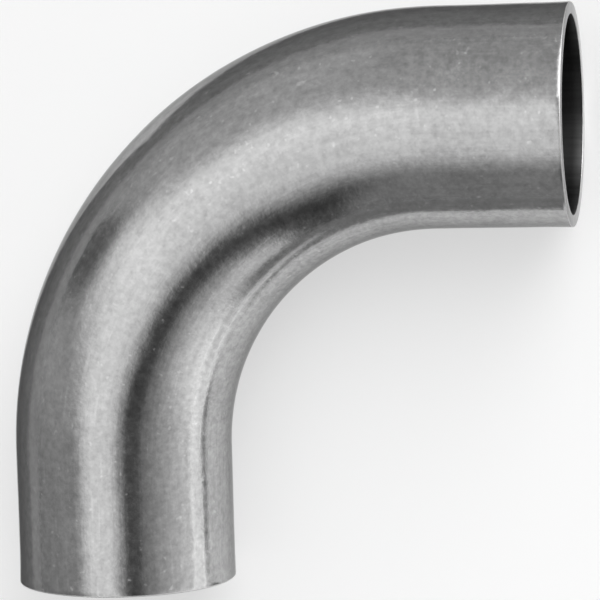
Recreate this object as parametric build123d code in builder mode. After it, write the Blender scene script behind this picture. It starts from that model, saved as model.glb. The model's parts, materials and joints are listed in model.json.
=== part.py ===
"""A 90 degree butt-weld tube elbow with straight ends.

The elbow is one bent piece of tube. It lies on its side, with its bend in the XY plane: the inlet leg
starts at the origin and runs along +Y, the bend turns it towards +X, and the outlet leg ends facing +X.
"""

import os

from build123d import *

# Driving dimensions, in millimetres: a DN 40 tube, 48.3 mm by 2.6 mm, bent to about 1.5 times its diameter
tube_diameter = 48.3
wall = 2.6
bend_radius = 72.0
centre_to_end = 101.6

# A bent wall is thinner over the back of the bend and thicker in its throat, by this much at mid-bend
wall_shift = 0.3

# Both ends are cut square for a butt weld and have their two edges broken
outer_edge_break = 0.3
inner_edge_break = 0.2

# The bore keeps the legs' axes but turns on a slightly tighter arc. At mid-bend an arc of radius r in a
# square corner passes (sqrt(2) - 1) * r from the corner, so the tighter arc lies nearer the bend's back.
tube_radius = tube_diameter / 2
bore_radius = tube_radius - wall
bore_bend_radius = bend_radius - wall_shift / (2**0.5 - 1)

inlet = (0, 0)
corner = (0, centre_to_end)
outlet = (centre_to_end, centre_to_end)


with BuildPart() as elbow:
    # The outside: the tube's full section, carried along the leg, the bend and the other leg
    with BuildLine() as outside_path:
        FilletPolyline(inlet, corner, outlet, radius=bend_radius)
    with BuildSketch(Plane.XZ) as tube_section:
        Circle(tube_radius)
    sweep(path=outside_path.wire())

    # The passage through it, on its own tighter arc
    with BuildLine() as bore_path:
        FilletPolyline(inlet, corner, outlet, radius=bore_bend_radius)
    with BuildSketch(Plane.XZ) as bore_section:
        Circle(bore_radius)
    sweep(path=bore_path.wire(), mode=Mode.SUBTRACT)

    # The broken edges of the two square-cut ends
    end_edges = elbow.faces().filter_by(GeomType.PLANE).edges()
    rims = end_edges.group_by(SortBy.RADIUS)
    chamfer(rims[-1], length=outer_edge_break)
    chamfer(rims[0], length=inner_edge_break)

elbow.part.label = "elbow"

os.makedirs("parts", exist_ok=True)
export_step(elbow.part, "parts/elbow.step")

centreline = outside_path.wire().length
print("centreline length", round(centreline, 1), "mm, volume", round(elbow.part.volume), "mm3")
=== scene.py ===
# %% [markdown]
# # A butt weld elbow in bare steel
#
# This lesson dresses one small pipe fitting: a thin tube, bent through a right angle, with both ends cut
# square so that a straight tube can be welded to each. It is a plain shape, so everything that makes it look
# real is in its surface: the soft grain of pickled steel, the marks of drawing and bending, and the way a
# bright light runs along the tube and turns with it.
#
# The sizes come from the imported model. It lies on its side: the bend is in the XY plane, the inlet leg starts
# at the origin and runs along +Y, and the outlet leg ends facing +X.

import json
import math

import bpy
from mathutils import Matrix, Vector


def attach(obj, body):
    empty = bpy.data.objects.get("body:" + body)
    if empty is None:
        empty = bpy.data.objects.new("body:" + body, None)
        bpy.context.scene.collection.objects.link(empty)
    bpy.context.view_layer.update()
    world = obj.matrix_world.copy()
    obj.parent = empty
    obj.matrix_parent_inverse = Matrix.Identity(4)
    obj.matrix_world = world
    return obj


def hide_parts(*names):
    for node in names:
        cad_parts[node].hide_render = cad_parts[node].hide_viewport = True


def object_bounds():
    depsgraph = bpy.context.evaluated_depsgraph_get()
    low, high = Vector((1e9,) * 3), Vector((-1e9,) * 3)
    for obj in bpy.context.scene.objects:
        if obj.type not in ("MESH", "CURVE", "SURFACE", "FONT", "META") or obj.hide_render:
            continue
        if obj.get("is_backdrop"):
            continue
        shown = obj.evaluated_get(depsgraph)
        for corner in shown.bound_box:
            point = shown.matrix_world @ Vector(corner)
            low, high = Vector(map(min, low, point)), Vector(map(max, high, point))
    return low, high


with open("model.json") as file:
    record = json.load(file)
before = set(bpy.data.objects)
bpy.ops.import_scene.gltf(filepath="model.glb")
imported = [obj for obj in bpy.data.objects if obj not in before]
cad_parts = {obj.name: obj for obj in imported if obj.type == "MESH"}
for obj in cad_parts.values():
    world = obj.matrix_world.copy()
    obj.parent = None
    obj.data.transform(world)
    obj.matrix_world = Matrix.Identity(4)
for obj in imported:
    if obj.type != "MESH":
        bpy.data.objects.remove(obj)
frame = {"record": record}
cad_low, cad_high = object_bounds()
print("CAD box, mm:", [round(size * 1000, 2) for size in cad_high - cad_low])

# %% [markdown]
# ## Sizes
#
# The tube's radius is half the height of the model's box, because the elbow lies flat. The bore and the place
# of the outlet are in the record's mounts. Only the bend's own radius has to be written down again. A drawn
# bend is a little thinner over its back than in its throat, so the bore turns on a slightly tighter arc.

# %% Sizes, in metres
mounts = {mount["name"]: mount for mount in frame["record"]["mounts"]}
tube_radius = (cad_high.z - cad_low.z) / 2
bore_radius = mounts["inlet_bore"]["dims"]["r_mm"] / 1000
centre_to_end = mounts["outlet_bore"]["pos_m"][0]
bend_radius = 0.072
wall_shift = 0.0003
bore_bend_radius = bend_radius - wall_shift / (math.sqrt(2) - 1)
leg = centre_to_end - bend_radius
wall = tube_radius - bore_radius
print("wall", round(wall * 1000, 2), "mm, straight legs", round(leg * 1000, 1), "mm")

# %% [markdown]
# ## The bent tube
#
# A tube bender starts from a straight tube, and so could we: bend a cylinder with a modifier, or sweep a
# circle along a curve. Spinning is closer to what the bending machine does, and it keeps the rings evenly
# spaced. One circle is drawn along the first leg, spun round the bend's centre through a quarter turn, and
# drawn on along the second leg. That makes one skin. The outside and the bore are two such skins, each with
# its own arc.
#
# Blender's spin counts its angle clockwise as seen from +Z here, so a quarter turn from +Y to +X is positive.

# %% Draw one skin
ring_points = 192


def bent_skin(name, radius, turn_radius, leg_rings, bend_rings):
    straight = centre_to_end - turn_radius
    bpy.ops.object.select_all(action="DESELECT")
    bpy.ops.mesh.primitive_circle_add(vertices=ring_points, radius=radius, rotation=(math.radians(90), 0, 0))
    skin = bpy.context.object
    skin.name = name
    bpy.ops.object.transform_apply(location=True, rotation=True, scale=True)
    bpy.ops.object.mode_set(mode="EDIT")
    bpy.ops.mesh.select_all(action="SELECT")
    for ring in range(leg_rings):
        step = {"value": (0, straight / leg_rings, 0)}
        bpy.ops.mesh.extrude_edges_move(TRANSFORM_OT_translate=step)
    bpy.ops.mesh.spin(
        steps=bend_rings,
        angle=math.radians(90),
        center=(turn_radius, straight, 0),
        axis=(0, 0, 1),
    )
    for ring in range(leg_rings):
        step = {"value": (straight / leg_rings, 0, 0)}
        bpy.ops.mesh.extrude_edges_move(TRANSFORM_OT_translate=step)
    bpy.ops.object.mode_set(mode="OBJECT")
    print(name, len(skin.data.vertices), "points, box", [round(size * 1000, 2) for size in skin.dimensions])
    return skin


outside = bent_skin("elbow_steel", tube_radius, bend_radius, leg_rings=24, bend_rings=112)
bore = bent_skin("bore_skin", bore_radius, bore_bend_radius, leg_rings=12, bend_rings=56)

# %% [markdown]
# ## A surface that isn't perfect
#
# A computer's tube is too true. A real one has been drawn through a die, gripped by clamps and pushed round a
# former, and here its surface wanders by 0.16 mm. You never see that as a shape. You see it because the edge
# of each reflection wavers. So it is put into the mesh itself, with Displace modifiers: long waves from the
# bending, and shorter dents from handling. They push inwards, so that the piece stays within the model's box,
# and they fade out at both ends, where the saw and the deburring tool left the tube round.

# %% Let the outside wander a little
end_margin = 0.006


def distance_to_ends(point):
    to_inlet = point.y if point.x < bend_radius else centre_to_end
    to_outlet = centre_to_end - point.x if point.y > leg else centre_to_end
    return max(min(to_inlet, to_outlet), 0)


def push_in(skin, label, size, depth):
    texture = bpy.data.textures.new(label, "CLOUDS")
    texture.noise_scale = size
    texture.noise_depth = 1
    wander = skin.modifiers.new(label, "DISPLACE")
    wander.texture = texture
    wander.texture_coords = "LOCAL"
    wander.vertex_group = "away_from_ends"
    wander.mid_level = 0.9
    wander.strength = depth
    bpy.context.view_layer.objects.active = skin
    bpy.ops.object.modifier_apply(modifier=label)


def face_outwards(skin):
    bpy.context.view_layer.objects.active = skin
    bpy.ops.object.mode_set(mode="EDIT")
    bpy.ops.mesh.select_all(action="SELECT")
    bpy.ops.mesh.remove_doubles(threshold=1e-6)
    bpy.ops.mesh.normals_make_consistent(inside=False)
    bpy.ops.object.mode_set(mode="OBJECT")


face_outwards(outside)
away = outside.vertex_groups.new(name="away_from_ends")
for vertex in outside.data.vertices:
    away.add([vertex.index], min(distance_to_ends(vertex.co) / end_margin, 1), "REPLACE")
push_in(outside, "bending_waves", size=0.024, depth=0.00016)
push_in(outside, "handling_dents", size=0.010, depth=0.00007)
outside.vertex_groups.clear()
print("outside after displacing, mm:", [round(size * 1000, 2) for size in outside.dimensions])

# %% [markdown]
# ## The square-cut ends
#
# Both ends are sawn square, ready for welding. The cut face is a flat ring, as wide as the wall is thick. The
# two open rings of the outside are extruded in place and shrunk to the bore's radius. There they meet the
# bore's own end rings point for point, so joining both skins and merging doubles closes the piece. A bridge
# would do as well, but it may twist between rings of this many points.

# %% Close the wall at both ends
touching = 1e-5
wall_share = bore_radius / tube_radius


def on_inlet(point):
    return abs(point.y) < touching


def on_outlet(point):
    return abs(point.x - centre_to_end) < touching


def select_edges(piece, wanted):
    bpy.ops.object.mode_set(mode="EDIT")
    bpy.ops.mesh.select_mode(type="EDGE")
    bpy.ops.mesh.select_all(action="DESELECT")
    bpy.ops.object.mode_set(mode="OBJECT")
    points = piece.data.vertices
    for edge in piece.data.edges:
        edge.select = all(wanted(points[index].co) for index in edge.vertices)
    bpy.ops.object.mode_set(mode="EDIT")


bpy.ops.object.select_all(action="DESELECT")
outside.select_set(True)
bpy.context.view_layer.objects.active = outside
for on_end, middle in ((on_inlet, (0, 0, 0)), (on_outlet, (centre_to_end, centre_to_end, 0))):
    select_edges(outside, on_end)
    bpy.ops.mesh.extrude_edges_move()
    bpy.ops.transform.resize(value=(wall_share, wall_share, wall_share), center_override=middle)
    bpy.ops.object.mode_set(mode="OBJECT")

bore.select_set(True)
bpy.ops.object.join()
elbow = outside
face_outwards(elbow)
loose = [edge for edge in elbow.data.edges if edge.is_loose]
print("joined:", len(elbow.data.vertices), "points,", len(loose), "loose edges")

# %% [markdown]
# ## Broken edges
#
# A saw leaves a sharp edge outside and inside. A file or a deburring wheel breaks it, so each gets a narrow
# bevel. It is thinner than a millimetre, yet it is the bright line that shows where the tube ends.

# %% Break the edges of the cuts
outer_break = 0.0003
inner_break = 0.0002


def off_axis(point):
    if on_inlet(point):
        return math.hypot(point.x, point.z)
    return math.hypot(point.y - centre_to_end, point.z)


def on_rim_of(radius):
    def on_rim(point):
        return (on_inlet(point) or on_outlet(point)) and abs(off_axis(point) - radius) < touching

    return on_rim


for radius, width in ((tube_radius, outer_break), (bore_radius, inner_break)):
    select_edges(elbow, on_rim_of(radius))
    bpy.ops.mesh.bevel(offset_type="OFFSET", offset=width, segments=3, profile=0.5, affect="EDGES")
    bpy.ops.object.mode_set(mode="OBJECT")

face_outwards(elbow)
triangles = sum(len(face.vertices) - 2 for face in elbow.data.polygons)
print("elbow:", len(elbow.data.polygons), "faces,", triangles, "triangles")

# %% [markdown]
# ## Where each point was before the bend
#
# The marks on a bent tube were mostly made while it was straight: draw lines run along it and follow the bend
# round. A pattern on plain object coordinates would cut across them. So each point gets an attribute with the
# place it had in the straight tube: x towards the throat of the bend, y up, and z the distance along the
# tube. The pattern has no seam, because it is three-dimensional.

# %% Write down the straight tube's coordinates
def before_bending(point):
    if point.y <= leg:
        return point.x, point.z, point.y
    if point.x >= bend_radius:
        along = leg + bend_radius * math.pi / 2 + point.x - bend_radius
        return centre_to_end - point.y, point.z, along
    across = bend_radius - point.x
    ahead = point.y - leg
    along = leg + bend_radius * math.atan2(ahead, across)
    return bend_radius - math.hypot(across, ahead), point.z, along


straight_place = elbow.data.attributes.new("straight_tube", "FLOAT_VECTOR", "POINT")
for index, vertex in enumerate(elbow.data.vertices):
    straight_place.data[index].vector = before_bending(vertex.co)
tube_length = leg * 2 + bend_radius * math.pi / 2
print("straight length", round(tube_length * 1000, 1), "mm")

# %% [markdown]
# ## Writing materials as sums
#
# A material is a graph, and a graph of thirty nodes is hard to read in code. Two small classes help. A `Wire`
# is one socket that can be added, subtracted, multiplied and divided as a number can, and each sign adds its
# own Math node. A `Bench` is a node tree, with one method that adds any other node.

# %% Two helpers for shader maths
class Wire:
    """One output socket, which can be used in sums."""

    def __init__(self, bench, socket):
        self.bench = bench
        self.socket = socket

    def maths(self, operation, first, second):
        return self.bench.node("ShaderNodeMath", {"operation": operation}, {0: first, 1: second})

    def __add__(self, other):
        return self.maths("ADD", self, other)

    def __sub__(self, other):
        return self.maths("SUBTRACT", self, other)

    def __rsub__(self, other):
        return self.maths("SUBTRACT", other, self)

    def __mul__(self, other):
        return self.maths("MULTIPLY", self, other)

    def __truediv__(self, other):
        return self.maths("DIVIDE", self, other)

    def power(self, exponent):
        return self.maths("POWER", self, exponent)


class Bench:
    """A node tree to build a material or a world on."""

    def __init__(self, tree):
        self.tree = tree
        self.tree.nodes.clear()

    def node(self, kind, settings=None, sockets=None, output=0):
        made = self.tree.nodes.new(kind)
        for name, value in (settings or {}).items():
            if name == "stops":
                self.set_stops(made.color_ramp, value)
            else:
                setattr(made, name, value)
        for name, value in (sockets or {}).items():
            if isinstance(value, Wire):
                self.tree.links.new(value.socket, made.inputs[name])
            else:
                made.inputs[name].default_value = value
        return Wire(self, made.outputs[output]) if len(made.outputs) else made

    def set_stops(self, ramp, stops):
        while len(ramp.elements) < len(stops):
            ramp.elements.new(1)
        for element, (position, shade) in zip(ramp.elements, stops):
            element.position = position
            element.color = (shade, shade, shade, 1)


def new_material(name):
    material = bpy.data.materials.new(name)
    material.use_nodes = True
    return material, Bench(material.node_tree)


# %% [markdown]
# ## The patterns in the steel
#
# All three finishes of this piece are bare steel. The outside and the cut differ in what was done to them,
# and the bore is darkened with painted shade. Their marks are noise at different scales: round where acid or
# handling made them, and drawn out where a tool ran in one direction. So the first helpers are noise, a ramp
# that keeps only its peaks, and two ways to draw it out.

# %% Patterns that the steel shares
def noise(bench, place, per_metre, detail=2.0, roughness=0.5):
    settings = {"noise_dimensions": "3D"}
    sockets = {"Vector": place, "Scale": per_metre, "Detail": detail, "Roughness": roughness}
    return bench.node("ShaderNodeTexNoise", settings, sockets)


def peaks(bench, value, low, high):
    """0 where the value is under low, and 1 where it is over high."""
    settings = {"stops": [(low, 0.0), (high, 1.0)]}
    return bench.node("ShaderNodeValToRGB", settings, {"Fac": value})


def stretched(bench, place, along):
    """The straight tube's coordinates, drawn out along the tube."""
    return bench.node("ShaderNodeMapping", {}, {"Vector": place, "Scale": (1, 1, 1 / along)})


def sawn(bench, place, across):
    """The same coordinates, drawn out in the saw's direction, across the end."""
    return bench.node("ShaderNodeMapping", {}, {"Vector": place, "Scale": (1 / across, 1, 1)})


def tube_place(bench):
    settings = {"attribute_type": "GEOMETRY", "attribute_name": "straight_tube"}
    return bench.node("ShaderNodeAttribute", settings, output="Vector")


def grey(bench, level):
    return bench.node("ShaderNodeCombineColor", {}, {"Red": level, "Green": level, "Blue": level})


def bumps(bench, relief, strength, depth):
    sockets = {"Strength": strength, "Distance": depth, "Height": relief}
    return bench.node("ShaderNodeBump", {}, sockets)


def metal(bench, level, roughness, normal, edge_tint=1.0):
    sockets = {
        "Base Color": grey(bench, level),
        "Metallic": 1.0,
        "Roughness": roughness,
        "Normal": normal,
        "Specular Tint": (edge_tint, edge_tint, edge_tint, 1),
    }
    surface = bench.node("ShaderNodeBsdfPrincipled", {}, sockets)
    return bench.node("ShaderNodeOutputMaterial", {}, {"Surface": surface})


# %% [markdown]
# ## The bare steel outside
#
# Seen close, pickled steel is neither brushed nor polished. The acid leaves fine pits and grains, under a
# millimetre across, which break up every reflection into flecks. Larger clouds come from the way the scale
# lifted, and faint lines along the tube from the drawing die. A few bright specks and fine scratches came
# with handling. A film of oxide also keeps the metal from mirroring like glass at a glancing angle, so its
# edge tint is held down. All of it stays grey. What changes is how bright the metal is, how sharply it
# mirrors, and its relief, which is less than a tenth of a millimetre deep.

# %% The bare steel outside
def pickled_steel():
    material, bench = new_material("pickled_steel")
    place = tube_place(bench)
    grain = noise(bench, place, 1500, detail=3)
    flecks = noise(bench, place, 620, detail=4, roughness=0.6)
    clouds = noise(bench, place, 70, detail=3)
    draw_lines = noise(bench, stretched(bench, place, 40), 1100, detail=2)
    specks = peaks(bench, noise(bench, place, 700, detail=1), 0.69, 0.79)
    scratches = peaks(bench, noise(bench, stretched(bench, place, 12), 1300, detail=0), 0.70, 0.84)

    fine = (flecks - 0.5) * 0.36 + (grain - 0.5) * 0.12
    broad = (clouds - 0.5) * 0.14 + (draw_lines - 0.5) * 0.10
    level = fine + broad + specks * 0.15 + scratches * 0.05 + 0.47
    roughness = (flecks - 0.5) * 0.12 + (clouds - 0.5) * 0.06 + specks * 0.10 + 0.15
    relief = grain * 0.35 + flecks * 0.65 + draw_lines * 0.25
    normal = bumps(bench, relief, strength=0.5, depth=0.00006)
    metal(bench, level, roughness, normal, edge_tint=0.5)
    return material


pickled = pickled_steel()
print(pickled.name, len(pickled.node_tree.nodes), "nodes")

# %% [markdown]
# ## The fresh cut and the bore
#
# The ends were sawn after pickling, so they are the brightest metal on the piece: clean, but rough, with the
# saw's straight lines across the ring. The broken edges share this finish. The bore is dull steel with painted
# shade: it is darkened to near black, as the inside of the tube is in shadow, and it is stained in clouds, with
# lines along it from the mandrel.

# %% The fresh cut and the bore
def fresh_cut():
    material, bench = new_material("fresh_cut")
    place = tube_place(bench)
    marks = noise(bench, place, 1400, detail=3)
    saw_lines = noise(bench, sawn(bench, place, 16), 1700, detail=2)
    level = (saw_lines - 0.5) * 0.30 + (marks - 0.5) * 0.20 + 0.73
    roughness = (marks - 0.5) * 0.15 + 0.52
    relief = saw_lines * 0.7 + marks * 0.3
    normal = bumps(bench, relief, strength=0.6, depth=0.00006)
    metal(bench, level, roughness, normal)
    return material


def bore_steel():
    material, bench = new_material("bore_steel")
    place = tube_place(bench)
    stains = noise(bench, place, 90, detail=4)
    lines = noise(bench, stretched(bench, place, 30), 900, detail=2)
    # Painted shade: the base level of 0.055 darkens the bore to near black, as the inside of the tube is in
    # shadow
    level = (stains - 0.5) * 0.05 + (lines - 0.5) * 0.04 + 0.055
    roughness = (stains - 0.5) * 0.10 + 0.36
    normal = bumps(bench, lines, strength=0.4, depth=0.00005)
    metal(bench, level, roughness, normal)
    return material


cut = fresh_cut()
dark_bore = bore_steel()
print(cut.name, len(cut.node_tree.nodes), "nodes,", dark_bore.name, len(dark_bore.node_tree.nodes), "nodes")

# %% [markdown]
# ## Which face has which finish
#
# The faces are told apart by where they were in the straight tube. The cuts are the faces within a fraction
# of a millimetre of either end, and the bore is what lies nearer the axis than the middle of the wall.

# %% Hand out the finishes
finishes = [pickled, cut, dark_bore]
cut_depth = outer_break * 0.99
middle_of_wall = (tube_radius + bore_radius) / 2

elbow.data.materials.clear()
for finish in finishes:
    elbow.data.materials.append(finish)


def finish_of(face):
    side, up, along = before_bending(face.center)
    if min(along, tube_length - along) < cut_depth:
        return cut
    return dark_bore if math.hypot(side, up) < middle_of_wall else pickled


for face in elbow.data.polygons:
    face.material_index = finishes.index(finish_of(face))
for index, finish in enumerate(finishes):
    print(finish.name, sum(face.material_index == index for face in elbow.data.polygons), "faces")

# %% [markdown]
# ## In the model's place
#
# The piece is smooth all over, apart from the corners at its ends, so it is shaded smooth by angle. It then
# stands for the model's own solid, which stays behind it for collisions.

# %% Put the piece in the model's place
smooth_up_to = 25

bpy.ops.object.select_all(action="DESELECT")
elbow.select_set(True)
bpy.context.view_layer.objects.active = elbow
bpy.ops.object.shade_smooth_by_angle(angle=math.radians(smooth_up_to))
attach(elbow, "root")
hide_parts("elbow")
print(elbow.name, "rides on root and stands for elbow")

# %% [markdown]
# ## White paper on a dark cloth
#
# Bare metal shows little but its surroundings, so the floor is part of the material here. The elbow lies on a
# sheet of white paper that is hardly larger than the picture. Under it a dark cloth covers most of a paler
# table. What the elbow mirrors at its back comes from the cloth, and draws a grey edge against the white,
# with a fine line in it where the cloth ends. A second sheet lies in front and lights up the throat of the
# bend. A single white floor would be simpler, but then the edges would fade into the background.
#
# Product photos have a background that is whiter than lit paper. So a share of each sheet is plain white for
# the camera and for whatever mirrors it, and the rest is matt paper that keeps the shadow.

# %% The paper, the cloth and the table
sheet_size = (0.153, 0.148)
sheet_corner = (-0.041, 0.134)
front_sheet_size = (0.080, 0.125)
front_sheet_corner = (0.095, -0.014)
sheet_white_share = 0.46
paper_shade = 0.9
cloth_shade = 0.27
table_shade = 0.42
cloth_size = (3.0, 3.0)
cloth_corner = (-0.158, 0.240)
cloth_height = cad_low.z - 0.0004
table_size = (6.0, 6.0)
table_height = cad_low.z - 0.0020


def matt_paper(name, shade, white_share):
    material, bench = new_material(name)
    paper = bench.node("ShaderNodeBsdfDiffuse", {}, {"Color": (shade, shade, shade, 1)})
    white = bench.node("ShaderNodeEmission", {}, {"Strength": 1.0})
    seen = bench.node("ShaderNodeLightPath", output="Is Camera Ray")
    mirrored = bench.node("ShaderNodeLightPath", output="Is Glossy Ray")
    through = bench.node("ShaderNodeLightPath", output="Is Transmission Ray")
    share = (seen + mirrored + through) * white_share
    surface = bench.node("ShaderNodeMixShader", {}, {0: share, 1: paper, 2: white})
    bench.node("ShaderNodeOutputMaterial", {}, {"Surface": surface})
    return material


def matt(name, shade):
    material, bench = new_material(name)
    surface = bench.node("ShaderNodeBsdfDiffuse", {}, {"Color": (shade, shade, shade, 1)})
    bench.node("ShaderNodeOutputMaterial", {}, {"Surface": surface})
    return material


def lay(name, size, middle, height, material):
    bpy.ops.object.select_all(action="DESELECT")
    bpy.ops.mesh.primitive_plane_add(size=1, location=(middle[0], middle[1], height))
    laid = bpy.context.object
    laid.name = name
    laid.scale = (size[0], size[1], 1)
    bpy.ops.object.transform_apply(location=True, rotation=True, scale=True)
    laid.data.materials.append(material)
    laid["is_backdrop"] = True
    return laid


def middle_of(corner, size):
    """The middle of a sheet that is given by its back left corner."""
    return corner[0] + size[0] / 2, corner[1] - size[1] / 2


white_paper = matt_paper("white_sheet", paper_shade, sheet_white_share)
sheet = lay("sheet", sheet_size, middle_of(sheet_corner, sheet_size), cad_low.z, white_paper)
front_middle = middle_of(front_sheet_corner, front_sheet_size)
front_sheet = lay("front_sheet", front_sheet_size, front_middle, cad_low.z, white_paper)
cloth_middle = middle_of(cloth_corner, cloth_size)
cloth = lay("dark_cloth", cloth_size, cloth_middle, cloth_height, matt("dark_cloth", cloth_shade))
table = lay("table", table_size, (0, 0), table_height, matt("grey_table", table_shade))
print("laid down:", [laid.name for laid in (sheet, front_sheet, cloth, table)])

# %% [markdown]
# ## The camera
#
# It looks down from about 62 cm, through a long lens, and a little from the outlet's side. Its place and lens
# were worked out from the outline of the tube and from how open its mouth looks.

# %% The camera
image_width = 600
focal_pixels = 2902.6
camera_place = Vector((0.16814, 0.12075, 0.62159))
forward = Vector((-0.19969, -0.09203, -0.97553))
upward = Vector((0.00691, 0.99542, -0.09532))

bpy.ops.object.camera_add(location=camera_place)
camera = bpy.context.object
back = -forward.normalized()
right = upward.cross(back).normalized()
turn = [[right[row], back.cross(right)[row], back[row]] for row in range(3)]
camera.matrix_world = Matrix.Translation(camera_place) @ Matrix(turn).to_4x4()
camera.data.sensor_width = 36
camera.data.lens = camera.data.sensor_width * focal_pixels / image_width
camera.data.clip_start = 0.01
camera.data.clip_end = 20
bpy.context.scene.camera = camera
print("camera", round(camera_place.z, 3), "m up, lens", round(camera.data.lens, 1), "mm")

# %% [markdown]
# ## A dome of soft light with a dark gap
#
# A tube mirrors a whole half circle of the room across its width, so every bright or dark thing in the room
# turns into a band that follows the bend. Softboxes would do, but they are flat and end in hard edges. Here
# the room is a dome, drawn on a plan: the middle of the plan is straight overhead, and a point is as many
# degrees from the middle as it is from overhead, with +X to the right.

# %% A soft ellipse on the plan
def dome_plan(bench):
    """The direction looked at, as a place on the plan in degrees from overhead."""
    direction = bench.node("ShaderNodeTexCoord", output="Generated")
    split = {"Vector": direction}
    east = bench.node("ShaderNodeSeparateXYZ", {}, split, output="X")
    north = bench.node("ShaderNodeSeparateXYZ", {}, split, output="Y")
    height = bench.node("ShaderNodeSeparateXYZ", {}, split, output="Z")
    from_overhead = bench.node("ShaderNodeMath", {"operation": "ARCCOSINE"}, {0: height}) * math.degrees(1)
    level = (east * east + north * north).power(0.5)
    stretch = from_overhead / level
    return bench.node("ShaderNodeCombineXYZ", {}, {"X": east * stretch, "Y": north * stretch})


def ellipse(bench, plan, middle, half_sizes, turn, edge):
    """1 inside an ellipse on the plan and 0 outside. The edge is a share of its half sizes."""
    place = {
        "Vector": plan,
        "Location": (*middle, 0),
        "Rotation": (0, 0, math.radians(turn)),
        "Scale": (*half_sizes, 1),
    }
    inside = bench.node("ShaderNodeMapping", {"vector_type": "TEXTURE"}, place)
    away = bench.node("ShaderNodeVectorMath", {"operation": "LENGTH"}, {"Vector": inside}, output="Value")
    limits = {"Value": away, "From Min": 1 + edge, "From Max": 1 - edge}
    return bench.node("ShaderNodeMapRange", {"interpolation_type": "SMOOTHSTEP"}, limits)


# %% [markdown]
# ## What hangs on the dome
#
# Soft ellipses of light are laid on the plan. The key light is high and makes the bright band along the top
# of the tube, two lit cloths fill in its back and front, and the right wall lights the inside of the bend.
# The window is the strongest, and it lights the floor. Then dark cards take light away, as a photographer's
# black cards do. The long gap draws the dark line that runs along the whole tube.

# %% The lights and the dark cards on the dome
# Each row: name, middle, half sizes and turn in degrees, edge, and how much light it adds or takes
dome_lights = (
    ("back cloth", (17, 58), (120, 51), 11, 0.50, 0.65),
    ("key", (-12, -12), (18, 36), 22, 0.55, 1.26),
    ("key's left end", (-43, 12), (15, 9.6), -52, 0.9, 0.87),
    ("right wall", (125, -55), (61, 92), 4, 1.0, 1.85),
    ("low right", (125, -117), (115, 54), -41, 0.2, 0.6),
    ("small box", (36, -72), (9, 15), 4, 0.4, 0.42),
    ("front cloth", (-50, -85), (55, 110), 29, 0.12, 0.3),
    ("window", (23, 46), (19, 35), 0, 0.45, 4.8),
)
dark_cards = (
    ("gap", (20, -32), (8.4, 46), -6, 0.35, 0.5),
    ("low gap", (54, -118), (24, 53), 5, 0.2, 0.47),
    ("left card", (-76, 27), (23, 8.4), -14, 0.5, 0.65),
    ("horizon card", (43, -86), (20, 8), 27, 0.3, 0.85),
    ("back card", (-10, 72), (12, 30), 0, 0.8, 0.22),
)
dome_level = 0.07

world = bpy.data.worlds.new("studio")
world.use_nodes = True
bpy.context.scene.world = world
bench = Bench(world.node_tree)
plan = dome_plan(bench)
glow = dome_level
for name, middle, half_sizes, turned, edge, strength in dome_lights:
    glow = ellipse(bench, plan, middle, half_sizes, turned, edge) * strength + glow
for name, middle, half_sizes, turned, edge, strength in dark_cards:
    glow = glow * (1 - ellipse(bench, plan, middle, half_sizes, turned, edge) * strength)
surface = bench.node("ShaderNodeBackground", {}, {"Strength": glow})
bench.node("ShaderNodeOutputWorld", {}, {"Surface": surface})
print("dome:", len(dome_lights), "lights,", len(dark_cards), "dark cards")

# %% [markdown]
# ## A low softbox beside the paper
#
# The dome ends at the table's horizon, where the inlet leg would mirror a dark line in its right side. A long
# low softbox stands at the right, just out of the picture, and hides that line behind a bright band. The band
# ends sharply where the softbox meets the cloth. Its beam is narrowed, so that it hardly lights the floor.

# %% The low softbox
box_length = 0.125
box_height = 0.039
box_place = Vector((0.150, -0.016, cad_low.z + box_height / 2))
box_aim = Vector((0.02, 0.02, cad_low.z + box_height / 2))
box_spread = 100
box_brightness = 0.34

bpy.ops.object.light_add(type="AREA", location=box_place)
low_box = bpy.context.object
low_box.name = "low_softbox"
low_box.rotation_euler = (box_aim - box_place).to_track_quat("-Z", "Y").to_euler()
low_box.data.shape = "RECTANGLE"
low_box.data.size = box_length
low_box.data.size_y = box_height
low_box.data.spread = math.radians(box_spread)
low_box.data.energy = box_brightness * math.pi * box_length * box_height
low_box.visible_camera = False
print(low_box.name, round(low_box.data.energy * 1000, 2), "mW")

# %% [markdown]
# ## Colours as they are, and a last measure
#
# The Standard view shows each colour as it was written. The finished piece must not be larger than the model,
# so both boxes are printed.

# %% Colours and sizes
bpy.context.scene.view_settings.view_transform = "Standard"
boxes = {"cad": [list(cad_low), list(cad_high)], "visual": [list(corner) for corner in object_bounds()]}
for name, (low, high) in boxes.items():
    print(name, "box, mm:", [round((top - bottom) * 1000, 2) for bottom, top in zip(low, high)])
